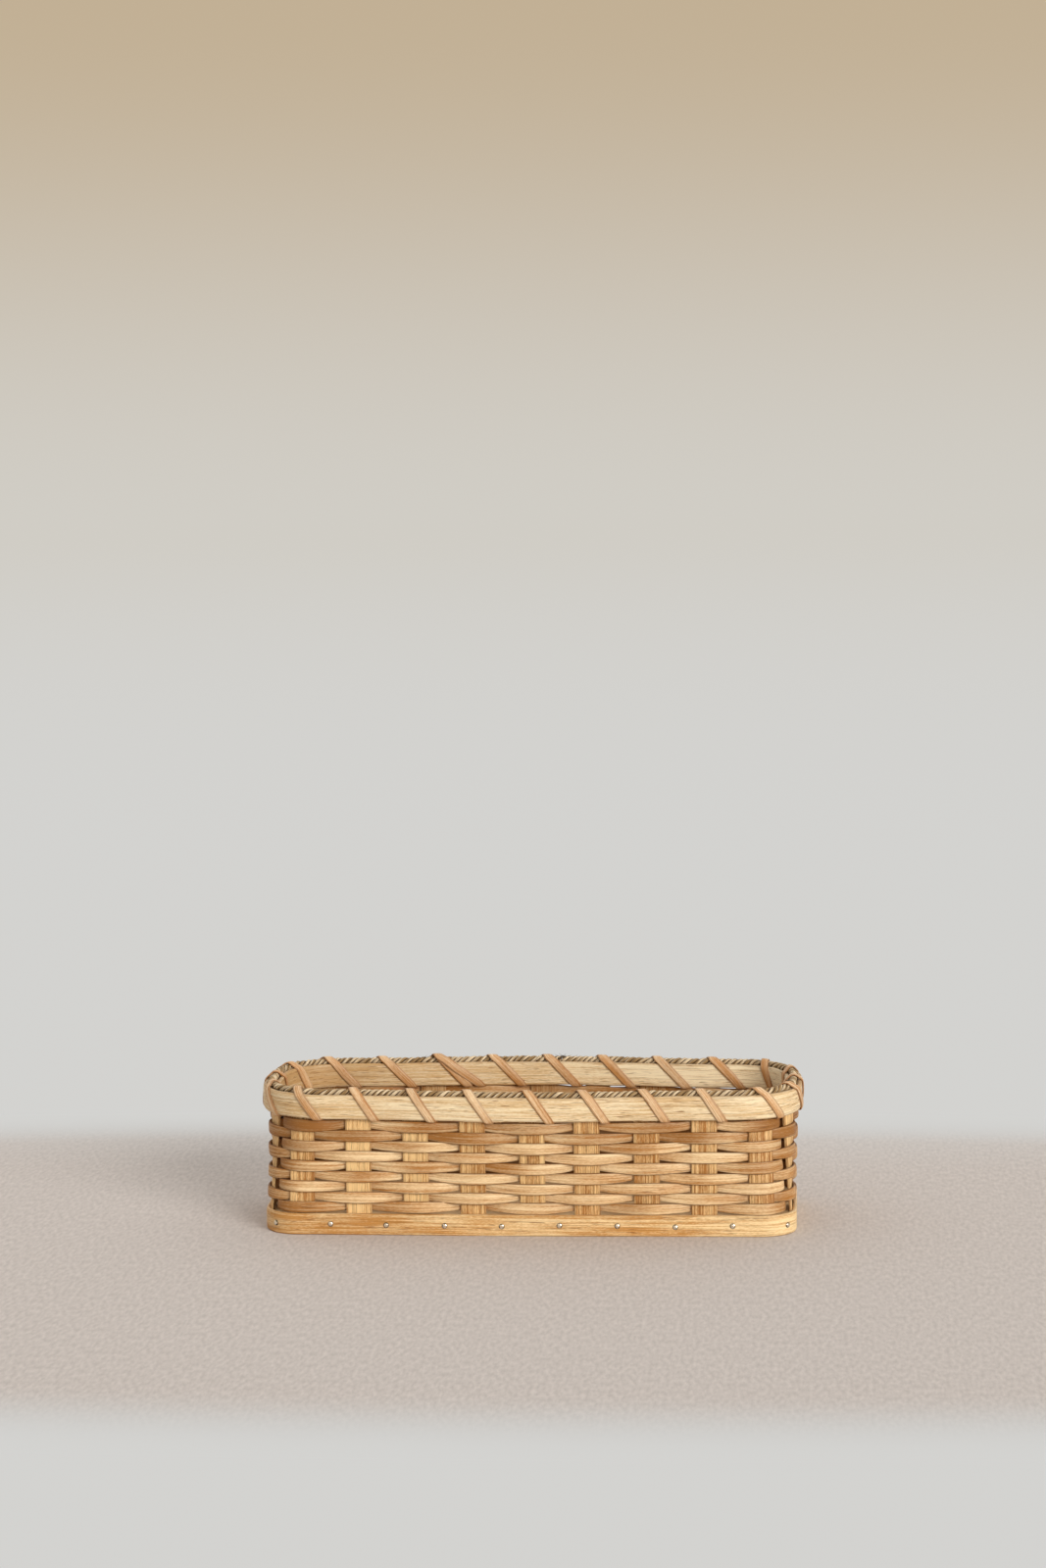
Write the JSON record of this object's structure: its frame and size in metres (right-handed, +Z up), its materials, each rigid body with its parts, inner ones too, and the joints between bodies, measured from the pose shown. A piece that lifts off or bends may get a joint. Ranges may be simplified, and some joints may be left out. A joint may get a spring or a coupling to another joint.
{
  "type": "cracker basket",
  "caption": "Long, narrow woven basket with a wooden base and a lashed double rim, for serving a row of crackers.",
  "frame": {"origin": "centre of the underside, midway along the length and across the width, on the table the basket stands on", "axes": "+X along the length to the right as seen from the front, +Y to the back, +Z up"},
  "size_m": [0.34, 0.131, 0.0934],
  "materials": {
    "board": "bare planed wood",
    "base_band": "flat oval reed with a light clear stain",
    "stake": "flat reed with fine upright ribs",
    "weaver": "narrow flat oval reed, honey coloured",
    "rim_band": "pale flat oval reed",
    "lash": "thin flat reed",
    "sea_grass": "twisted sea grass cord",
    "nail": "bright domed head"
  },
  "bodies": {
    "root": {"base_board": "board", "base_band": "base_band", "nail_front_1": "nail", "nail_front_2": "nail", "nail_front_3": "nail", "nail_front_4": "nail", "nail_front_5": "nail", "nail_front_6": "nail", "nail_front_7": "nail", "nail_front_8": "nail", "nail_front_9": "nail", "nail_front_10": "nail", "nail_back_1": "nail", "nail_back_2": "nail", "nail_back_3": "nail", "nail_back_4": "nail", "nail_back_5": "nail", "nail_back_6": "nail", "nail_back_7": "nail", "nail_back_8": "nail", "nail_back_9": "nail", "nail_back_10": "nail", "stake_front_1": "stake", "stake_front_2": "stake", "stake_front_3": "stake", "stake_front_4": "stake", "stake_front_5": "stake", "stake_front_6": "stake", "stake_front_7": "stake", "stake_front_8": "stake", "stake_front_9": "stake", "stake_right_1": "stake", "stake_right_2": "stake", "stake_right_3": "stake", "stake_back_1": "stake", "stake_back_2": "stake", "stake_back_3": "stake", "stake_back_4": "stake", "stake_back_5": "stake", "stake_back_6": "stake", "stake_back_7": "stake", "stake_back_8": "stake", "stake_back_9": "stake", "stake_left_1": "stake", "stake_left_2": "stake", "stake_left_3": "stake", "weaver_row_1": "weaver", "weaver_row_2": "weaver", "weaver_row_3": "weaver", "weaver_row_4": "weaver", "weaver_row_5": "weaver", "weaver_row_6": "weaver", "weaver_row_7": "weaver", "weaver_row_8": "weaver", "weaver_row_9": "weaver", "rim_core_row": "weaver", "rim_band_outer": "rim_band", "rim_band_inner": "rim_band", "rim_filler": "sea_grass", "rim_lashing": "lash"}
  },
  "joints": []
}
